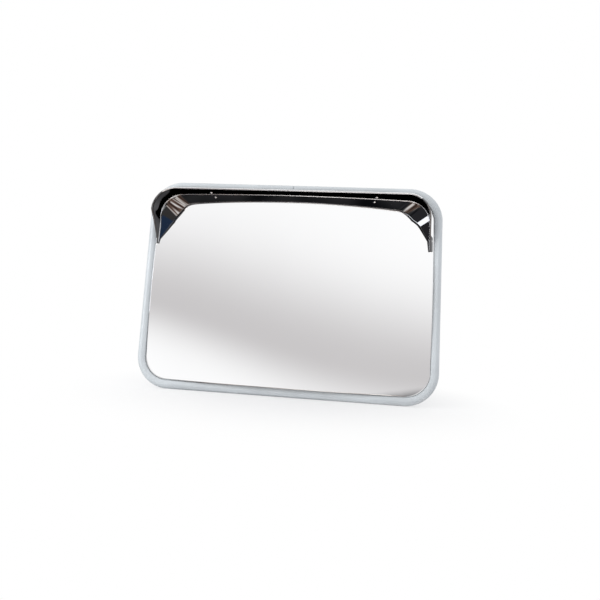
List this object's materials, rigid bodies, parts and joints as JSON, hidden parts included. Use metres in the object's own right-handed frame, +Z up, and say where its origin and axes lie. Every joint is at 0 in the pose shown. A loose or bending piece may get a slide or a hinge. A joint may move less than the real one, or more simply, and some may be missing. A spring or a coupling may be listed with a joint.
{
  "type": "convex security mirror",
  "caption": "Rectangular convex wall mirror with rounded corners, a grey edge trim, a polished visor hood over its top edge and a pan and tilt wall bracket behind.",
  "frame": {"origin": "middle of the wall plate's back face, on the wall", "axes": "+Y into the wall, the mirror looks along -Y, +X to the right as seen when facing along +Y, +Z up"},
  "size_m": [0.64, 0.143, 0.456],
  "materials": {
    "mirror": "polished acrylic mirror sheet",
    "trim": "pale grey satin soft vinyl",
    "seal": "black closed-cell foam",
    "hood_steel": "dark mirror polish",
    "spring_steel": "bright spring steel",
    "rivet": "bright",
    "shell": "grained grey moulding",
    "galvanised": "galvanised",
    "zinc": "bright zinc plate",
    "bracket_paint": "grey powder coat",
    "fibre": "red-brown vulcanised fibre",
    "nylon": "natural nylon",
    "casting": "die-cast, tumbled"
  },
  "bodies": {
    "wall_mount": {"wall_bracket": "bracket_paint", "pan_bolt": "zinc", "pan_washers": "zinc", "pan_nut": "zinc"},
    "swivel": {"swivel_block": "casting", "pan_bush": "nylon", "tilt_bush": "nylon", "pan_friction_washers": "fibre", "tilt_friction_washers": "fibre"},
    "mirror_head": {"mirror_face": "mirror", "edge_trim": "trim", "rim_seal": "seal", "hood": "hood_steel", "hood_clips": "spring_steel", "hood_rivets": "rivet", "back_shell": "shell", "stiffener_plate": "galvanised", "head_bolts": "zinc", "head_washers": "zinc", "head_lock_washers": "spring_steel", "head_nuts": "zinc", "tilt_clevis": "bracket_paint", "tilt_bolt": "zinc", "tilt_washers": "zinc", "tilt_nut": "zinc"}
  },
  "joints": [
    {"name": "pan", "type": "hinge", "parent": "wall_mount", "child": "swivel", "pos_m": [0, -0.022, 0], "axis": [0, 0, 1], "range_deg": [-12, 12]},
    {"name": "tilt", "type": "hinge", "parent": "swivel", "child": "mirror_head", "pos_m": [0, -0.038, 0], "axis": [1, 0, 0], "range_deg": [-15, 15]}
  ]
}
